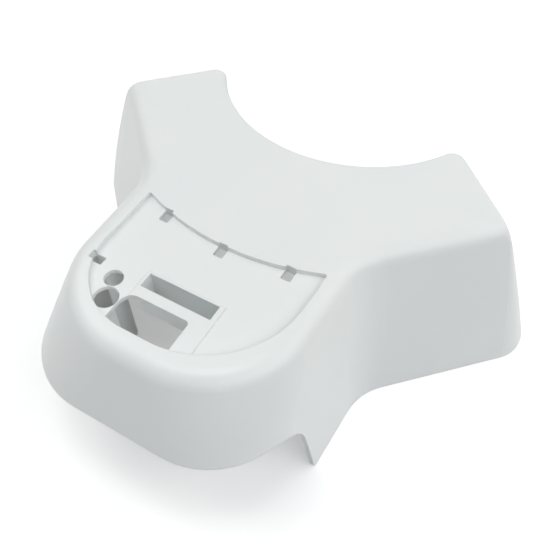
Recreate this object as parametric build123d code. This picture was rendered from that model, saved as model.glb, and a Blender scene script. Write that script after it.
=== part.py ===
from build123d import *
from math import cos, radians, sin, sqrt, tan, atan2
import os

# Moulded front housing of a counter-top kitchen appliance, one shell in one shot.
# Millimetres, +Z up, nose towards -Y, the bowl bay towards +Y. The shell mirrors
# about X = 0, the control field in its nose doesn't. Z = 0 is the edge of the skirt
# that stands on the worktop. It is drawn about a point under the root of the nose,
# and moved at the end so that the origin is the middle of its footprint.

# ---- overall shell ------------------------------------------------------------
HEIGHT = 103.0            # skirt edge to top deck
WALL = 2.8                # moulded wall: sides, deck, lip and the field's floor
SHOULDER_R = 13.0         # big round between deck and front walls
EDGE_R = 3.0              # small round on the bay edge and the wing ends
BARREL = 0.28             # belly of the side walls, as a share of their flare

# Deck outline, drawn to the sharp corners (each wall then flares out by its own
# amount on the way down to the skirt edge).
NOSE_HALF = 71.8          # half width of the nose at its root
NOSE_TAPER = 3.0          # how much narrower the nose is at its front
NOSE_ROOT_Y = 10.0        # where NOSE_HALF is measured
NOSE_FRONT = 80.2         # deck centre line to the nose front
NOSE_CORNER_R = 62.0
NOSE_CORNER_LOSS = 26.3   # the nose corner tightens by this much towards the skirt
JUNCTION_R = 39.0         # inside round where nose meets wing
WING_ANGLE = 45.0         # the wings run back at this angle
WING_FRONT = 27.2         # distance of the wing front wall from the origin
WING_END = 165.3          # distance of the wing end wall from the origin
TIP_R = 28.0              # plan round of the wing's outer corner at the skirt edge;
                          # it closes up to EDGE_R under the shoulder

SIDE_FLARE = 21.1         # nose sides
FRONT_FLARE = 49.2        # nose front
WING_FLARE = 30.0         # wing front walls
END_FLARE = 36.8          # wing end walls

# ---- bay for the bowl ---------------------------------------------------------
BAY_Y = 189.5
BAY_R = 96.5
BAY_LIP = 16.0            # turned-down lip round the bay, open below it
BAY_CORNER_R = 8.0        # plan round where the bay meets the wing ends
BAY_GAP_HALF = 70.0       # half width of the opening below the lip
BAY_GAP_R = 10.0

# ---- raised nose --------------------------------------------------------------
NOSE_Z = 61.5             # lower edge of the nose above the worktop
ARCH_Y = -49.5            # the feet's front edges meet the nose's height here
FOOT_Y = -46.0            # and the worktop here
ARCH_R = 25.0             # round between the two
FOOT_R = 3.0              # toe of each foot

# ---- control field ------------------------------------------------------------
FIELD_DEPTH = 3.0         # sunk floor that the control panel sits on
FIELD_LEFT = -59.3
FIELD_RIGHT = 61.6
FIELD_RIGHT_LEAN = 4.0    # the right side leans in by this much on the way forward
FIELD_FRONT = 68.1
FIELD_LEFT_R = 45.0
FIELD_RIGHT_R = 58.0
FIELD_REAR_X = 5.0        # centre of the arc along the back of the field
FIELD_REAR_Y = 160.0
FIELD_REAR_R = 156.0
FIELD_REAR_CORNER_R = 1.2

SLOT_X = (-40.7, 1.3, 42.3)     # clip slots along the back of the field
SLOT_W = 6.2
SLOT_L = 6.8              # forward of the field's back edge
SLOT_BITE = 1.0           # behind it
SLOT_R = 0.8
SIDE_SLOT_W = 8.0         # clip slot against the left side
SIDE_SLOT_L = 5.4
SIDE_SLOT_Y = -37.0
BUTTONS = ((-39.2, -43.2, 11.0), (-34.7, -55.4, 14.0))     # x, y, diameter

WINDOW_LEFT = -27.4
WINDOW_RIGHT = 13.3
WINDOW_REAR = -47.0
WINDOW_LAND = 1.0         # floor left between the window and the field's front
WINDOW_LEFT_R = 8.0
WINDOW_RIGHT_R = 2.5

PAD_RISE = 0.5            # display seat, proud of the field floor
PAD_LEFT = -25.0
PAD_RIGHT = 24.7
PAD_REAR = -29.6

POCKET_X = -0.8
POCKET_Y = -35.8
POCKET_W = 44.8
POCKET_L = 9.4
POCKET_DEPTH = 20.0
POCKET_WALL = 2.0

# ---- fixing -------------------------------------------------------------------
BOSS_X = 62.0
BOSS_FRONT_Y = -26.0
BOSS_REAR_Y = 80.0
BOSS_D = 10.0
BOSS_HOLE_D = 3.6
BOSS_HOLE_DEPTH = 18.0
BOSS_GAP = 4.0            # boss ends stay this far above the worktop
RIB_T = 2.0
RIB_H = 7.0

# ---- how the cuts are made ----------------------------------------------------
SIDES = (-1, 1)
NEAR = 0.05               # how close a point counts as lying on a face
TIP_BITE = 0.05           # the wing corner's round starts this far inside both walls
LEAST_R = 0.4             # no inner round gets smaller than this
PAST = 1.0                # a cut runs past the face it opens by this much

SHOULDER_FOOT = HEIGHT - SHOULDER_R
DECK_UNDER = HEIGHT - WALL
FLOOR = HEIGHT - FIELD_DEPTH
FLOOR_UNDER = FLOOR - WALL


def meet(p, d, q, e):
    """Point where the line p + t d crosses the line q + s e."""
    det = e[0] * d[1] - d[0] * e[1]
    t = (e[0] * (q[1] - p[1]) - e[1] * (q[0] - p[0])) / det
    return (p[0] + t * d[0], p[1] + t * d[1])


def rounded(points, radii, z):
    """Closed wire of straight runs and arcs through a polygon's corners."""
    starts, mids, ends = [], [], []
    for i, (bx, by) in enumerate(points):
        ax, ay = points[i - 1]
        cx, cy = points[(i + 1) % len(points)]
        la, lc = sqrt((ax - bx) ** 2 + (ay - by) ** 2), sqrt((cx - bx) ** 2 + (cy - by) ** 2)
        ux, uy, vx, vy = (ax - bx) / la, (ay - by) / la, (cx - bx) / lc, (cy - by) / lc
        half = atan2(abs(ux * vy - uy * vx), ux * vx + uy * vy) / 2
        r = radii[i]
        t = r / tan(half)
        mx, my = ux + vx, uy + vy
        ml = sqrt(mx * mx + my * my)
        k = r / sin(half) - r
        starts.append((bx + ux * t, by + uy * t, z))
        mids.append((bx + mx / ml * k, by + my / ml * k, z))
        ends.append((bx + vx * t, by + vy * t, z))
    edges = []
    for i in range(len(points)):
        if radii[i] > 0:
            edges.append(Edge.make_three_point_arc(starts[i], mids[i], ends[i]))
        edges.append(Edge.make_line(ends[i], starts[(i + 1) % len(points)]))
    return Wire(edges)


def flare(s):
    """Share of the flare reached at s, from 0 at the deck to 1 at the skirt edge."""
    return s + BARREL * s * (1 - s)


def plan(z, inset):
    """Outline of the walls at height z, moved in by inset."""
    s = (HEIGHT - z) / HEIGHT
    f = flare(s)
    front = NOSE_FRONT + FRONT_FLARE * f - inset
    half = NOSE_HALF + SIDE_FLARE * f - inset
    wing = WING_FRONT + WING_FLARE * f - inset
    a = radians(WING_ANGLE)
    run = (cos(a), sin(a))
    foot = (wing * sin(a), -wing * cos(a))
    lean = (NOSE_TAPER, NOSE_ROOT_Y + NOSE_FRONT)
    corner = meet((half, NOSE_ROOT_Y), lean, (0, -front), (1, 0))
    joint = meet((half, NOSE_ROOT_Y), lean, foot, run)
    far = 2 * (WING_END + END_FLARE)
    tip = (foot[0] + run[0] * far, foot[1] + run[1] * far)
    right = [corner, joint, tip]
    left = [(-x, y) for x, y in reversed(right)]
    corner_r = NOSE_CORNER_R - NOSE_CORNER_LOSS * s - inset
    joint_r = JUNCTION_R + inset
    return rounded(right + left, [corner_r, joint_r, 0, 0, joint_r, corner_r], z)


def end_cut(side, inset):
    """Everything beyond a wing's sloping end wall."""
    slope = END_FLARE / HEIGHT
    over = 2 * WALL
    deck = WING_END - inset
    near, far = deck - slope * over, deck + slope * (HEIGHT + over)
    section = Polyline((near, HEIGHT + over), (far, -over), (2 * deck, -over),
                       (2 * deck, HEIGHT + over), close=True)
    a = radians(WING_ANGLE if side > 0 else 180 - WING_ANGLE)
    frame = Plane(origin=(0, 0, 0), x_dir=(cos(a), sin(a), 0), z_dir=(sin(a), -cos(a), 0))
    return extrude(frame * make_face(section), amount=2 * deck, both=True)


def tip_section(side, z, inset):
    """Plan, at height z, of what lies beyond the round of a wing's outer corner."""
    s = (HEIGHT - z) / HEIGHT
    grown = (TIP_R - EDGE_R) * (SHOULDER_FOOT - z) / SHOULDER_FOOT
    r = max(EDGE_R - TIP_BITE - inset, LEAST_R) + grown
    reach = TIP_R + WALL
    wing = WING_FRONT + WING_FLARE * flare(s) - inset
    end = WING_END + END_FLARE * s - inset
    a = radians(WING_ANGLE)
    n1, n2 = (sin(a), -cos(a)), (cos(a), sin(a))

    def at(u, v):
        """Point u towards the front wall and v towards the end wall from the arc's centre."""
        p, q = wing - r + TIP_BITE + u, end - r + TIP_BITE + v
        return (side * (p * n1[0] + q * n2[0]), p * n1[1] + q * n2[1], z)

    d = r / sqrt(2)
    return Wire([
        Edge.make_three_point_arc(at(r, 0), at(d, d), at(0, r)),
        Edge.make_line(at(0, r), at(0, reach)),
        Edge.make_line(at(0, reach), at(reach, reach)),
        Edge.make_line(at(reach, reach), at(reach, 0)),
        Edge.make_line(at(reach, 0), at(r, 0)),
    ])


def tip_cut(side, inset):
    """Everything beyond the round of a wing's outer corner, below the shoulder."""
    heights = (-WALL, SHOULDER_FOOT / 2, SHOULDER_FOOT)
    return Solid.make_loft([tip_section(side, z, inset) for z in heights])


def block(inset):
    """Solid inside the walls and the deck, moved in by inset, with the bay taken out."""
    top = HEIGHT - inset
    foot = -inset
    body = Solid.make_loft([plan(z, inset) for z in (foot, HEIGHT / 2, top)])
    around = body.faces().sort_by(Axis.Z)[-1].edges()
    rim = [e for e in around if min((e @ 0).Y, (e @ 1).Y) < BAY_Y]
    body = body.fillet(SHOULDER_R - inset, rim)
    for side in SIDES:
        body = body - end_cut(side, inset)
    bay = Cylinder(BAY_R + inset, 3 * HEIGHT).moved(Location((0, BAY_Y, 0)))
    return (body - bay).solids().sort_by(SortBy.VOLUME)[-1]


def on_end(p):
    """Whether a point lies in the plane of a wing's outer end wall."""
    out = abs(p.X) * cos(radians(WING_ANGLE)) + p.Y * sin(radians(WING_ANGLE))
    return abs(out - WING_END - END_FLARE * (HEIGHT - p.Z) / HEIGHT) < NEAR


def on_bay(p, inset):
    """Whether a point lies on the bay's wall, or its inner face."""
    return abs(sqrt(p.X ** 2 + (p.Y - BAY_Y) ** 2) - BAY_R - inset) < NEAR


def upright(e):
    return e.bounding_box().size.Z > HEIGHT / 2


def round_bay_corners(body, inset):
    """Round the upright edges where the bay meets the wing ends."""
    corners = [e for e in body.edges() if upright(e) and on_bay(e @ 0.5, inset)]
    return body.fillet(BAY_CORNER_R - inset, corners)


def soften(body):
    """Small round on the deck behind the field and up the wing end corners."""
    chain = []
    for e in body.edges():
        pts = (e @ 0, e @ 0.5, e @ 1)
        lowest, rearmost = min(p.Z for p in pts), min(p.Y for p in pts)
        on_deck = lowest > HEIGHT - NEAR
        corner_arc = on_deck and rearmost > BAY_Y - BAY_R and e.length < 3 * BAY_CORNER_R
        bay_arc = on_deck and all(on_bay(p, 0) for p in pts)
        end_edge = all(on_end(p) for p in pts) and max(p.Z for p in pts) > NEAR
        bay_upright = upright(e) and rearmost > BAY_Y - BAY_R
        if bay_arc or corner_arc or (end_edge and not bay_upright):
            chain.append(e)
    return body.fillet(EDGE_R, chain)


def prism(face, low, high):
    """Upright prism over a plan face, between two heights."""
    return extrude(Plane.XY.offset(low) * face, amount=high - low)


def field_face(inset):
    """Plan of the control field, moved in by inset."""
    left, right = FIELD_LEFT + inset, FIELD_RIGHT - inset
    front = -FIELD_FRONT + inset
    rear_r = FIELD_REAR_R + inset
    back = FIELD_REAR_Y
    box = rounded(
        [(left, front), (right - FIELD_RIGHT_LEAN, front), (right, 0), (right, back), (left, back)],
        [FIELD_LEFT_R - inset, FIELD_RIGHT_R - inset, 0, 0, 0], 0)
    disc = Face(Wire(Edge.make_circle(rear_r, Plane(origin=(FIELD_REAR_X, FIELD_REAR_Y, 0)))))
    field = Face(box) - disc
    field = field.faces().sort_by(SortBy.AREA)[-1]
    corners = field.vertices().sort_by(Axis.Y)[-2:]
    return field.fillet_2d(max(FIELD_REAR_CORNER_R - inset, LEAST_R), corners)


def rect_face(x, y, w, l):
    return Pos(x, y) * Rectangle(w, l).face()


def back_edge(x):
    """Y of the field's back edge at x."""
    return FIELD_REAR_Y - sqrt(FIELD_REAR_R ** 2 - (x - FIELD_REAR_X) ** 2)


BOSSES = [(side * BOSS_X, y) for side in SIDES for y in (BOSS_FRONT_Y, BOSS_REAR_Y)]

# Walls, deck, bay wall and wing ends.
outer = soften(round_bay_corners(block(0), 0))
cavity = round_bay_corners(block(WALL), WALL)
for side in SIDES:
    outer = outer - tip_cut(side, 0)
    cavity = cavity - tip_cut(side, WALL)
shell = outer - cavity

# The bay wall is only a turned-down lip between two returns beside the wing ends.
gap_side = Rectangle(2 * BAY_GAP_HALF, 2 * (HEIGHT - BAY_LIP)).face()
gap_side = gap_side.fillet_2d(BAY_GAP_R, gap_side.vertices())
gap_front = BAY_Y - BAY_R - 2 * WALL
gap_back = BAY_Y - sqrt(BAY_R ** 2 - BAY_GAP_HALF ** 2) + WALL
gap = extrude(Plane.XZ.offset(-gap_back) * gap_side, amount=gap_back - gap_front)
shell = shell - gap

# Sunk control field: its floor hangs one wall below the deck's underside.
tray = prism(field_face(-WALL), FLOOR_UNDER, HEIGHT - WALL / 2)
shell = shell + tray - prism(field_face(0), FLOOR, HEIGHT + WALL)

# Display seat, proud of the floor round the pocket and the window.
seat = field_face(WINDOW_LAND) & rect_face(
    (PAD_LEFT + PAD_RIGHT) / 2, (PAD_REAR - FIELD_FRONT) / 2,
    PAD_RIGHT - PAD_LEFT, PAD_REAR + FIELD_FRONT)
shell = shell + prism(seat.faces()[0], FLOOR - WALL / 2, FLOOR + PAD_RISE)

# Blind pocket behind the window.
well = rect_face(POCKET_X, POCKET_Y, POCKET_W + 2 * POCKET_WALL, POCKET_L + 2 * POCKET_WALL)
shell = shell + prism(well, FLOOR - POCKET_DEPTH - POCKET_WALL, FLOOR_UNDER + WALL / 2)

# Screw bosses, each tied to its neighbours by shallow ribs under the deck.
post_low, post_high = BOSS_GAP, FLOOR - WALL / 2
for x, y in BOSSES:
    post = Pos(x, y) * Circle(BOSS_D / 2).face()
    shell = shell + prism(post, post_low, post_high)
rib_low, rib_high = DECK_UNDER - RIB_H, DECK_UNDER + WALL / 2
for side in SIDES:
    run = BOSS_REAR_Y - back_edge(side * BOSS_X)
    rib = rect_face(side * BOSS_X, BOSS_REAR_Y - run / 2, RIB_T, run)
    shell = shell + prism(rib, rib_low, rib_high)
cross = rect_face(0, BOSS_REAR_Y, 2 * BOSS_X, RIB_T)
shell = shell + prism(cross, rib_low, rib_high)

# Openings in the floor.
rear_slots = [
    rect_face(x, back_edge(x) - (SLOT_L - SLOT_BITE) / 2, SLOT_W, SLOT_L + SLOT_BITE)
    for x in SLOT_X
]
side_slot = rect_face(FIELD_LEFT + SIDE_SLOT_W / 2, SIDE_SLOT_Y, SIDE_SLOT_W, SIDE_SLOT_L)
for slot in rear_slots + [side_slot]:
    shell = shell - prism(slot.fillet_2d(SLOT_R, slot.vertices()), FLOOR_UNDER - PAST, HEIGHT + PAST)
for x, y, d in BUTTONS:
    shell = shell - prism(Pos(x, y) * Circle(d / 2).face(), FLOOR_UNDER - PAST, HEIGHT)
window = rect_face(
    (WINDOW_LEFT + WINDOW_RIGHT) / 2, (WINDOW_REAR - FIELD_FRONT) / 2,
    WINDOW_RIGHT - WINDOW_LEFT, WINDOW_REAR + FIELD_FRONT)
rear_corners = window.vertices().sort_by(Axis.Y)[-2:].sort_by(Axis.X)
window = window.fillet_2d(WINDOW_LEFT_R, [rear_corners[0]])
rear_right = window.vertices().sort_by(lambda v: v.Y + v.X)[-1]
window = window.fillet_2d(WINDOW_RIGHT_R, [rear_right])
window = (window & field_face(WINDOW_LAND)).faces()[0]
shell = shell - prism(window, FLOOR_UNDER - PAST, HEIGHT)
hollow = rect_face(POCKET_X, POCKET_Y, POCKET_W, POCKET_L)
shell = shell - prism(hollow, FLOOR - POCKET_DEPTH, HEIGHT)
for x, y in BOSSES:
    pilot = Pos(x, y) * Circle(BOSS_HOLE_D / 2).face()
    shell = shell - prism(pilot, 0, BOSS_GAP + BOSS_HOLE_DEPTH)

# The nose stops short of the worktop; the side walls step down to two feet, whose
# toes are rounded off.
heel = FOOT_Y + 2 * FOOT_R
arch_face = make_face(Polyline(
    (FOOT_Y, 0), (ARCH_Y, NOSE_Z), (-2 * NOSE_FRONT, NOSE_Z),
    (-2 * NOSE_FRONT, -WALL), (heel, -WALL), (heel, 0), close=True)).face()
arch_top = arch_face.vertices().sort_by_distance((ARCH_Y, NOSE_Z))[0]
arch_face = arch_face.fillet_2d(ARCH_R, [arch_top])
toe = arch_face.vertices().sort_by_distance((FOOT_Y, 0))[0]
arch_face = arch_face.fillet_2d(FOOT_R, [toe])
shell = shell - extrude(Plane.YZ * arch_face, amount=2 * NOSE_HALF, both=True)

housing = shell.solids().sort_by(SortBy.VOLUME)[-1]
housing = Pos(0, -housing.bounding_box().center().Y) * housing
housing.label = "housing"
os.makedirs("parts", exist_ok=True)
export_step(housing, "parts/housing.step")
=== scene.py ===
"""Looks of a moulded appliance housing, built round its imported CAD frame.

The housing is one injection moulded shell, so the CAD node carries the whole form. This
script gives it its finish (satin white plastic with the faint unevenness that a mould
leaves), sets it on a plain pale floor under soft lamps, and places the camera.
Metres, +Z up, nose towards -Y.
"""

import logging
from dataclasses import dataclass, field
from enum import Enum
from typing import Any, Dict, List, Optional, Tuple, Union

import bpy
from mathutils import Matrix, Vector

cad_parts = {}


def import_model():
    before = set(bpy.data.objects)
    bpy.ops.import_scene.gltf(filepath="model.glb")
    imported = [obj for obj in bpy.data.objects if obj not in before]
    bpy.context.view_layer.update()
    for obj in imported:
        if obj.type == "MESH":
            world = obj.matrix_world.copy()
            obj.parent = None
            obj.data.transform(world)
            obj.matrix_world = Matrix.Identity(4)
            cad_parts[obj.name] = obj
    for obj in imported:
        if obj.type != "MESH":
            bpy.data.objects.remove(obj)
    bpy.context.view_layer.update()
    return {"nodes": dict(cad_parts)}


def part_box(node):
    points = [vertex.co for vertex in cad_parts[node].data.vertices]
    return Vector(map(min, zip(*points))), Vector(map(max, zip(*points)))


frame: Dict[str, Any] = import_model()

logging.basicConfig(level=logging.INFO, format="%(levelname)s %(message)s")
log = logging.getLogger("housing")

Number = Union[int, float]
Triple = Tuple[float, float, float]
CENTRE: Triple = (0.0, 0.0, 0.05)


def mm(value: float) -> float:
    """Millimetres as metres."""
    return value / 1000.0


# ------------------------------------------------------------------ shader tools


class Operation(Enum):
    """The Math node operations that the finishes use."""

    ADD = "ADD"
    SUBTRACT = "SUBTRACT"
    MULTIPLY = "MULTIPLY"
    MINIMUM = "MINIMUM"
    MAXIMUM = "MAXIMUM"


class Sock:
    """A node's output socket that takes part in Python arithmetic.

    Attributes:
        graph: The node tree builder that new Math nodes go into.
        out: The wrapped output socket.
    """

    def __init__(self, graph: "Graph", out: bpy.types.NodeSocket) -> None:
        """Wraps one output socket."""
        self.graph = graph
        self.out = out

    def _math(self, operation: Operation, *values: Union["Sock", Number]) -> "Sock":
        """Adds one Math node.

        Args:
            operation: The Math node's operation.
            values: Its operands, numbers or sockets, in order.

        Returns:
            The node's result.
        """
        links = {index: value for index, value in enumerate(values)}
        settings = {"operation": operation.value}
        return self.graph.node("ShaderNodeMath", settings, links)[0]

    def __add__(self, other: Union["Sock", Number]) -> "Sock":
        """Sum."""
        return self._math(Operation.ADD, self, other)

    def __radd__(self, other: Number) -> "Sock":
        """Sum with a number on the left."""
        return self._math(Operation.ADD, other, self)

    def __sub__(self, other: Union["Sock", Number]) -> "Sock":
        """Difference."""
        return self._math(Operation.SUBTRACT, self, other)

    def __rsub__(self, other: Number) -> "Sock":
        """Difference with a number on the left."""
        return self._math(Operation.SUBTRACT, other, self)

    def __mul__(self, other: Union["Sock", Number]) -> "Sock":
        """Product."""
        return self._math(Operation.MULTIPLY, self, other)

    def __rmul__(self, other: Number) -> "Sock":
        """Product with a number on the left."""
        return self._math(Operation.MULTIPLY, other, self)

    def clamp(self) -> "Sock":
        """The value held between 0 and 1."""
        not_below = self._math(Operation.MAXIMUM, self, 0.0)
        return self._math(Operation.MINIMUM, not_below, 1.0)

    def smooth(self, low: float, high: float) -> "Sock":
        """Eases from 0 at low to 1 at high.

        Args:
            low: Where the ramp starts.
            high: Where the ramp ends.

        Returns:
            The eased share.
        """
        node = self.graph.node(
            "ShaderNodeMapRange",
            {"interpolation_type": "SMOOTHSTEP"},
            {"Value": self, "From Min": low, "From Max": high, "To Min": 0.0, "To Max": 1.0},
        )
        return node[0]


class Node:
    """A node whose outputs are read as arithmetic sockets."""

    def __init__(self, graph: "Graph", raw: bpy.types.Node) -> None:
        """Wraps one node."""
        self.graph = graph
        self.raw = raw

    def __getitem__(self, key: Union[int, str]) -> Sock:
        """One output by name or index, skipping those that are switched off."""
        if isinstance(key, str):
            return Sock(self.graph, self.raw.outputs[key])
        shown = [s for s in self.raw.outputs if s.enabled]
        return Sock(self.graph, shown[key])


class Graph:
    """Builds one node tree.

    Attributes:
        tree: The Blender node tree.
    """

    def __init__(self, tree: bpy.types.NodeTree) -> None:
        """Empties a tree and builds in it."""
        self.tree = tree
        tree.nodes.clear()

    def node(
        self,
        kind: str,
        settings: Optional[Dict[str, Any]] = None,
        inputs: Optional[Dict[Union[int, str], Any]] = None,
    ) -> Node:
        """Adds any node.

        Args:
            kind: The node's Blender type name.
            settings: Properties of the node, set before its sockets. The key "stops"
                holds a colour ramp's (position, colour) pairs.
            inputs: Values or sockets by input name or index. An index counts the
                inputs that are switched on.

        Returns:
            The wrapped node.
        """
        raw = self.tree.nodes.new(kind)
        for key, value in (settings or {}).items():
            if key == "stops":
                ramp = raw.color_ramp
                while len(ramp.elements) < len(value):
                    ramp.elements.new(0.5)
                for element, (place, colour) in zip(ramp.elements, value):
                    element.position = place
                    element.color = (*colour, 1.0)
            else:
                setattr(raw, key, value)
        for key, value in (inputs or {}).items():
            live = [s for s in raw.inputs if s.enabled]
            slot = next(s for s in live if s.name == key) if isinstance(key, str) else live[key]
            if isinstance(value, Sock):
                self.tree.links.new(value.out, slot)
            else:
                slot.default_value = value
        return Node(self, raw)

    def direct_ray(self) -> Sock:
        """1 where the camera sees the surface, also in a gloss or through glass, else 0."""
        path = self.node("ShaderNodeLightPath")
        seen = path["Is Camera Ray"] + path["Is Glossy Ray"] + path["Is Transmission Ray"]
        return seen.clamp()

    def distance(self) -> Sock:
        """How far the point is from the middle of the object's own frame, in metres."""
        point = self.node("ShaderNodeTexCoord")["Object"]
        return self.node("ShaderNodeVectorMath", {"operation": "LENGTH"}, {0: point})["Value"]

    def noise(self, size: float, detail: float = 2.0, rough: float = 0.5) -> Sock:
        """Fractal noise over the object's own frame.

        Args:
            size: Feature size in metres.
            detail: Octaves.
            rough: How much the small octaves count.

        Returns:
            The noise, about 0 to 1.
        """
        point = self.node("ShaderNodeTexCoord")["Object"]
        made = self.node(
            "ShaderNodeTexNoise",
            {"noise_dimensions": "3D"},
            {"Vector": point, "Scale": 1.0 / size, "Detail": detail, "Roughness": rough},
        )
        return made[0]

    def mix(self, share: Union[Sock, Number], low: Any, high: Any) -> Sock:
        """Mixes two colours.

        Args:
            share: How much of the second colour.
            low: The first colour, a socket or an RGB triple.
            high: The second colour.

        Returns:
            The mixed colour.
        """
        def paint(value: Any) -> Any:
            """A triple as the four numbers that a colour socket takes."""
            return value if isinstance(value, Sock) else (*value, 1.0)

        made = self.node(
            "ShaderNodeMix",
            {"data_type": "RGBA", "blend_type": "MIX"},
            {"Factor": share, "A": paint(low), "B": paint(high)},
        )
        return made[0]


# ------------------------------------------------------------------------ finishes

PATCH_DETAIL = 3.0
GRAIN_DETAIL = 2.0
GRAIN_ROUGH = 0.6
SINK_DETAIL = 1.0
NOISE_MIDDLE = 0.5
DRIFT_BAND = (0.35, 0.65)
EDGE_SAMPLES = 6


@dataclass(frozen=True)
class SatinWhitePlastic:
    """Injection moulded white ABS, straight from a fine-sparked mould.

    Attributes:
        name: Material name.
        colour: Body colour.
        cool: Colour where the resin ran thinner, a touch cooler.
        roughness: Satin level of the outer face.
        roughness_drift: How far the satin level wanders.
        grain: Size of the mould's spark grain in metres.
        grain_height: Height of that grain in metres.
        drift: Size in metres of the patches where the colour turns cooler.
        mottle: Size in metres of the patches where the satin level changes.
        sink: Size of the long shallow unevenness of a cooled wall.
        sink_height: Its height in metres.
        ior: Index of refraction of ABS.
        edge_radius: Round that the mould leaves on every sharp edge, in metres.
        translucency: Share of the light that scatters inside the wall.
        scatter: How far red, green and blue light scatter, relative to each other.
        scatter_depth: How far the farthest of them scatters, in metres.
    """

    name: str = "satin_white_plastic"
    colour: Triple = (0.830, 0.852, 0.842)
    cool: Triple = (0.815, 0.843, 0.842)
    roughness: float = 0.32
    roughness_drift: float = 0.08
    grain: float = mm(0.55)
    grain_height: float = mm(0.004)
    drift: float = mm(65.0)
    mottle: float = mm(9.0)
    sink: float = mm(42.0)
    sink_height: float = mm(0.03)
    ior: float = 1.49
    edge_radius: float = mm(0.6)
    translucency: float = 0.2
    scatter: Triple = (1.0, 0.97, 0.90)
    scatter_depth: float = mm(2.5)

    def build(self) -> bpy.types.Material:
        """Makes the material.

        Returns:
            The new material.
        """
        material = bpy.data.materials.new(self.name)
        material.use_nodes = True
        graph = Graph(material.node_tree)
        drift = graph.noise(self.drift, PATCH_DETAIL)
        colour = graph.mix(drift.smooth(*DRIFT_BAND), self.colour, self.cool)
        mottle = graph.noise(self.mottle, PATCH_DETAIL)
        roughness = self.roughness + self.roughness_drift * (mottle - NOISE_MIDDLE)
        grain = graph.noise(self.grain, GRAIN_DETAIL, GRAIN_ROUGH)
        sink = graph.noise(self.sink, SINK_DETAIL)
        height = grain * self.grain_height + sink * self.sink_height
        edge = graph.node(
            "ShaderNodeBevel", {"samples": EDGE_SAMPLES}, {"Radius": self.edge_radius}
        )
        bump = graph.node(
            "ShaderNodeBump",
            None,
            {"Strength": 1.0, "Distance": 1.0, "Height": height, "Normal": edge[0]},
        )
        shader = graph.node(
            "ShaderNodeBsdfPrincipled",
            None,
            {
                "Base Color": colour,
                "Roughness": roughness,
                "IOR": self.ior,
                "Subsurface Weight": self.translucency,
                "Subsurface Radius": self.scatter,
                "Subsurface Scale": self.scatter_depth,
                "Normal": bump[0],
            },
        )
        graph.node("ShaderNodeOutputMaterial", None, {"Surface": shader[0]})
        return material


@dataclass(frozen=True)
class PaleFloor:
    """Seamless pale studio floor.

    Attributes:
        name: Material name.
        seen: Colour that the camera sees.
        lit: Colour that the rest of the light meets.
        glow: Even white added where the camera sees the floor.
        near: Up to here from the middle the floor is only its own colour, in metres.
        far: From here on the camera sees plain white, in metres.
    """

    name: str = "pale_floor"
    seen: Triple = (1.0, 1.0, 1.0)
    lit: Triple = (0.86, 0.86, 0.85)
    glow: float = 0.26
    near: float = 0.32
    far: float = 0.62

    def build(self) -> bpy.types.Material:
        """Makes the material.

        Returns:
            The new material.
        """
        material = bpy.data.materials.new(self.name)
        material.use_nodes = True
        graph = Graph(material.node_tree)
        direct = graph.direct_ray()
        colour = graph.mix(direct, self.lit, self.seen)
        matt = graph.node("ShaderNodeBsdfDiffuse", None, {"Color": colour})
        glow = graph.node("ShaderNodeEmission", None, {"Strength": self.glow * direct})
        close = graph.node("ShaderNodeAddShader", None, {0: matt[0], 1: glow[0]})
        white = graph.node("ShaderNodeEmission", None, {"Strength": 1.0})
        away = graph.distance().smooth(self.near, self.far) * direct
        shader = graph.node("ShaderNodeMixShader", None, {0: away, 1: close[0], 2: white[0]})
        graph.node("ShaderNodeOutputMaterial", None, {"Surface": shader[0]})
        return material


# ------------------------------------------------------------------ sub-assemblies


@dataclass
class Housing:
    """The moulded shell.

    Attributes:
        node: Name of its CAD node.
        finish: What it is moulded in.
    """

    node: str = "housing"
    finish: SatinWhitePlastic = field(default_factory=SatinWhitePlastic)

    def dress(self) -> bpy.types.Object:
        """Gives the CAD node its finish.

        Returns:
            The node's object.
        """
        shell: bpy.types.Object = frame["nodes"][self.node]
        shell.data.materials.clear()
        shell.data.materials.append(self.finish.build())
        low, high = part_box(self.node)
        log.info("%s: %.1f x %.1f x %.1f mm", self.node, *((high - low) / mm(1.0)))
        return shell


@dataclass(frozen=True)
class Lamp:
    """A soft square area lamp that the camera itself doesn't see.

    Attributes:
        name: Object name.
        place: Where it hangs, in metres.
        aim: The point that it faces.
        side: Its side in metres.
        power: Watts.
        tint: Colour of its light.
    """

    name: str
    place: Triple
    aim: Triple
    side: float
    power: float
    tint: Triple = (1.0, 1.0, 1.0)

    def hang(self) -> bpy.types.Object:
        """Adds the lamp.

        Returns:
            Its object.
        """
        data = bpy.data.lights.new(self.name, "AREA")
        data.shape = "SQUARE"
        data.size = self.side
        data.energy = self.power
        data.color = self.tint
        lamp = bpy.data.objects.new(self.name, data)
        lamp.visible_camera = False
        bpy.context.scene.collection.objects.link(lamp)
        lamp.location = self.place
        lamp.rotation_euler = (
            (Vector(self.aim) - Vector(self.place)).to_track_quat("-Z", "Y").to_euler()
        )
        log.info("%s: %.1f W", self.name, self.power)
        return lamp


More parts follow.
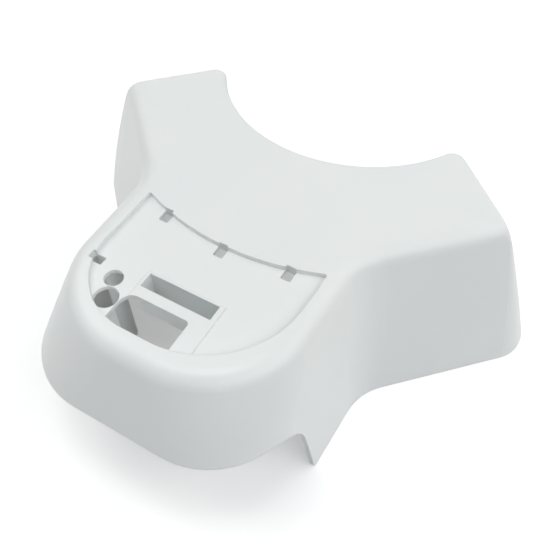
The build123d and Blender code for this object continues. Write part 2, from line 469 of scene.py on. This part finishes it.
@dataclass
class Studio:
    """Floor, room light and lamps.

    Attributes:
        reach: Half the floor's side in metres.
        room_light: Strength of the even light from all round.
        room_tint: Its colour.
        lamps: The lamps.
    """

    reach: float = 6.0
    room_light: float = 0.05
    room_tint: Triple = (0.97, 0.985, 1.0)
    lamps: List[Lamp] = field(
        default_factory=lambda: [
            Lamp("left_high", (-0.68, -0.00, 1.39), CENTRE, 1.0, 7.2, (0.98, 1.00, 0.97)),
            Lamp("right_mid", (1.18, 0.00, 0.97), CENTRE, 1.0, 5.9, (1.00, 1.00, 0.97)),
            Lamp("front_right_mid", (0.84, -0.84, 0.97), CENTRE, 1.0, 3.9, (0.88, 0.90, 1.00)),
            Lamp("rear_right_mid", (0.84, 0.84, 0.97), CENTRE, 1.0, 3.9, (1.00, 1.00, 1.00)),
            Lamp("overhead", (0.00, 0.00, 1.55), CENTRE, 0.38, 2.6, (1.00, 1.00, 1.00)),
            Lamp("left_mid", (-1.18, -0.00, 0.97), CENTRE, 1.0, 2.9, (1.00, 1.00, 1.00)),
            Lamp("front_left_mid", (-0.84, -0.84, 0.97), CENTRE, 1.0, 1.8, (1.00, 0.97, 0.98)),
            Lamp("rear_mid", (0.00, 1.18, 0.97), CENTRE, 1.0, 1.1, (1.00, 1.00, 0.97)),
            Lamp("right_high", (0.68, 0.00, 1.39), CENTRE, 1.0, 0.4, (1.00, 1.00, 0.98)),
        ]
    )

    def floor(self) -> bpy.types.Object:
        """Lays the floor.

        Returns:
            Its object.
        """
        mesh = bpy.data.meshes.new("studio_floor")
        r = self.reach
        mesh.from_pydata(
            [(-r, -r, 0.0), (r, -r, 0.0), (r, r, 0.0), (-r, r, 0.0)], [], [(0, 1, 2, 3)]
        )
        mesh.materials.append(PaleFloor().build())
        plane = bpy.data.objects.new("studio_floor", mesh)
        bpy.context.scene.collection.objects.link(plane)
        return plane

    def room(self) -> None:
        """Sets the even light from all round, white where the camera sees it."""
        world = bpy.data.worlds.new("studio_room")
        world.use_nodes = True
        bpy.context.scene.world = world
        graph = Graph(world.node_tree)
        direct = graph.direct_ray()
        tint = graph.mix(direct, self.room_tint, (1.0, 1.0, 1.0))
        strength = self.room_light + (1.0 - self.room_light) * direct
        light = graph.node("ShaderNodeBackground", None, {"Color": tint, "Strength": strength})
        graph.node("ShaderNodeOutputWorld", None, {"Surface": light[0]})

    def set_up(self) -> None:
        """Builds the whole studio."""
        self.floor()
        self.room()
        for lamp in self.lamps:
            lamp.hang()


@dataclass(frozen=True)
class Viewpoint:
    """The camera.

    Attributes:
        place: Its lens centre in metres.
        aim: The point at the middle of the frame.
        lens: Focal length in millimetres.
        sensor: Sensor width in millimetres.
        nearest: Anything closer isn't drawn, in metres.
        farthest: Anything farther isn't drawn, in metres.
    """

    place: Triple = (0.1437, -0.2242, 0.3809)
    aim: Triple = (0.0371, -0.0381, 0.1030)
    lens: float = 42.55
    sensor: float = 36.0
    nearest: float = 0.01
    farthest: float = 50.0

    def set_up(self) -> bpy.types.Object:
        """Adds the camera and makes it the scene's own.

        Returns:
            Its object.
        """
        data = bpy.data.cameras.new("viewpoint")
        data.lens = self.lens
        data.sensor_width = self.sensor
        data.sensor_fit = "HORIZONTAL"
        data.clip_start = self.nearest
        data.clip_end = self.farthest
        camera = bpy.data.objects.new("viewpoint", data)
        bpy.context.scene.collection.objects.link(camera)
        camera.location = self.place
        back = (Vector(self.place) - Vector(self.aim)).normalized()
        right = Vector((0.0, 0.0, 1.0)).cross(back).normalized()
        up = back.cross(right)
        camera.rotation_euler = Matrix((right, up, back)).transposed().to_euler()
        bpy.context.scene.camera = camera
        return camera


def main() -> None:
    """Builds the scene."""
    bpy.context.scene.view_settings.view_transform = "Standard"
    Viewpoint().set_up()
    Studio().set_up()
    Housing().dress()


if __name__ == "__main__":
    main()
